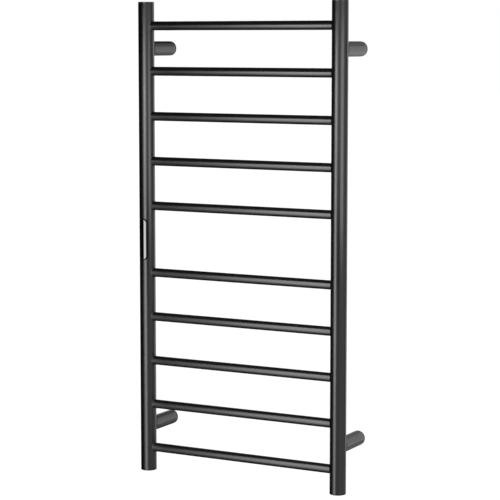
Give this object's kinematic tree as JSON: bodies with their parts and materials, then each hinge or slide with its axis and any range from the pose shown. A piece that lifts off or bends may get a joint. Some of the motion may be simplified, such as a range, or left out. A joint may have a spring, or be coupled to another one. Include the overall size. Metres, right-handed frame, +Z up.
{
  "type": "towel warmer rack",
  "caption": "Wall-hung heated towel ladder: two round posts, round bars in two groups with a wider gap between, four round standoff brackets and a capsule-shaped push control.",
  "frame": {"origin": "middle of the four wall fixings, on the wall face, half way up the rail", "axes": "+Z up along the posts, +X along the bars to the right seen from the room, +Y into the wall, so the front faces -Y"},
  "size_m": [0.548, 0.1329, 1.13],
  "materials": {
    "tube_finish": "satin graphite black powder coat over steel tube",
    "flange_finish": "matte black coated casting",
    "bolt_steel": "plain zinc-plated steel",
    "bezel_plastic": "high-gloss black moulding",
    "key_plastic": "polished piano-black moulding",
    "silicone": "matte grey silicone",
    "control_plastic": "fine-textured black moulding",
    "board_laminate": "green solder resist on laminate",
    "component_plastic": "moulded black component body",
    "terminal_plastic": "moulded green terminal body",
    "splice_sleeve": "cream shrunk sleeving",
    "lead_jacket": "black flexible jacket",
    "heating_jacket": "red-brown silicone jacket"
  },
  "bodies": {
    "rail": {"left_post": "tube_finish", "left_post_top_cap": "tube_finish", "left_post_bottom_cap": "tube_finish", "right_post": "tube_finish", "right_post_top_cap": "tube_finish", "right_post_bottom_cap": "tube_finish", "bar_01": "tube_finish", "bar_02": "tube_finish", "bar_03": "tube_finish", "bar_04": "tube_finish", "bar_05": "tube_finish", "bar_06": "tube_finish", "bar_07": "tube_finish", "bar_08": "tube_finish", "bar_09": "tube_finish", "bar_10": "tube_finish", "upper_left_bracket_sleeve": "tube_finish", "upper_left_bracket_bolt": "bolt_steel", "upper_left_bracket_nut": "bolt_steel", "upper_left_wall_flange": "flange_finish", "upper_left_grub_screw": "bolt_steel", "upper_right_bracket_sleeve": "tube_finish", "upper_right_bracket_bolt": "bolt_steel", "upper_right_bracket_nut": "bolt_steel", "upper_right_wall_flange": "flange_finish", "upper_right_grub_screw": "bolt_steel", "lower_left_bracket_sleeve": "tube_finish", "lower_left_bracket_bolt": "bolt_steel", "lower_left_bracket_nut": "bolt_steel", "lower_left_wall_flange": "flange_finish", "lower_left_grub_screw": "bolt_steel", "lower_right_bracket_sleeve": "tube_finish", "lower_right_bracket_bolt": "bolt_steel", "lower_right_bracket_nut": "bolt_steel", "lower_right_wall_flange": "flange_finish", "lower_right_grub_screw": "bolt_steel", "control_bezel": "bezel_plastic", "key_seal": "silicone", "control_housing": "control_plastic", "circuit_board": "board_laminate", "tact_switch": "component_plastic", "relay": "component_plastic", "terminal_block": "terminal_plastic", "upper_splice": "splice_sleeve", "upper_cold_lead": "lead_jacket", "lower_splice": "splice_sleeve", "lower_cold_lead": "lead_jacket", "heating_cable": "heating_jacket", "supply_lead": "lead_jacket", "cable_grommet": "silicone"},
    "key": {"control_key": "key_plastic"}
  },
  "joints": [
    {"name": "key_press", "type": "slide", "parent": "rail", "child": "key", "axis": [0, 1, 0], "range_m": [0, 0.0008], "stiffness_N_per_m": 1500, "springref_m": -0.0006}
  ]
}
